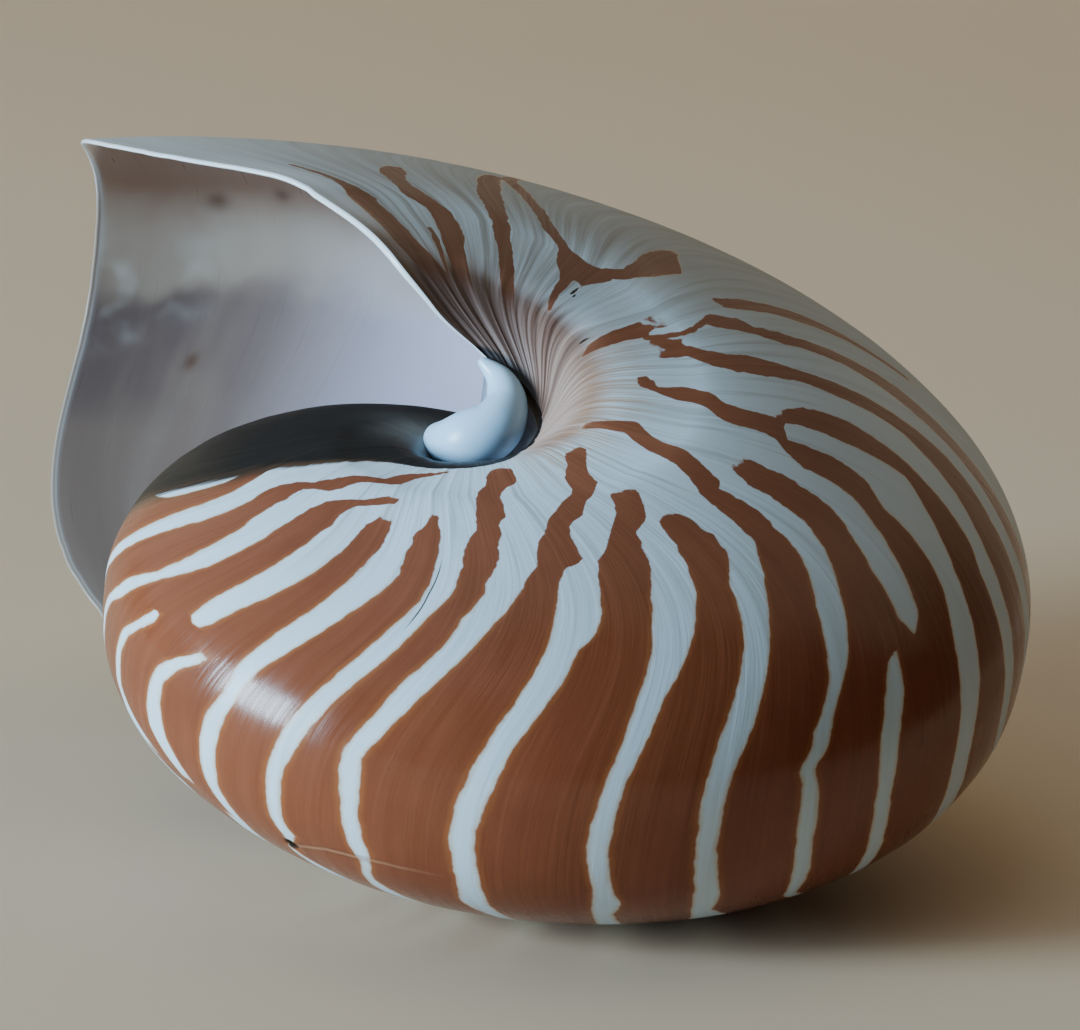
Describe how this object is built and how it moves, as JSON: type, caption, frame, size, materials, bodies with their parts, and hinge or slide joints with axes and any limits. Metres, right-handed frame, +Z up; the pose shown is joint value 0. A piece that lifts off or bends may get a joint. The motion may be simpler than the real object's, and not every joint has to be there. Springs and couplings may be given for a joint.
{
  "type": "nautilus shell",
  "caption": "Coiled nautilus shell with an open living chamber and a closed umbilicus, for display on a shelf or as a natural specimen.",
  "frame": {"origin": "middle of the bounding box, on the plane the shell rests on", "axes": "+Z up. The shell lies on one flank, with its mouth to -X and its closed coil to +X. The other flank, with its umbilicus, faces up and towards -Y."},
  "size_m": [0.1282, 0.145, 0.0785],
  "materials": {
    "shell": "smooth natural shell with a soft porcelain gloss, bluish white with red-brown stripes outside and pearly grey inside"
  },
  "bodies": {
    "root": {"nautilus_shell": "shell"}
  },
  "joints": []
}
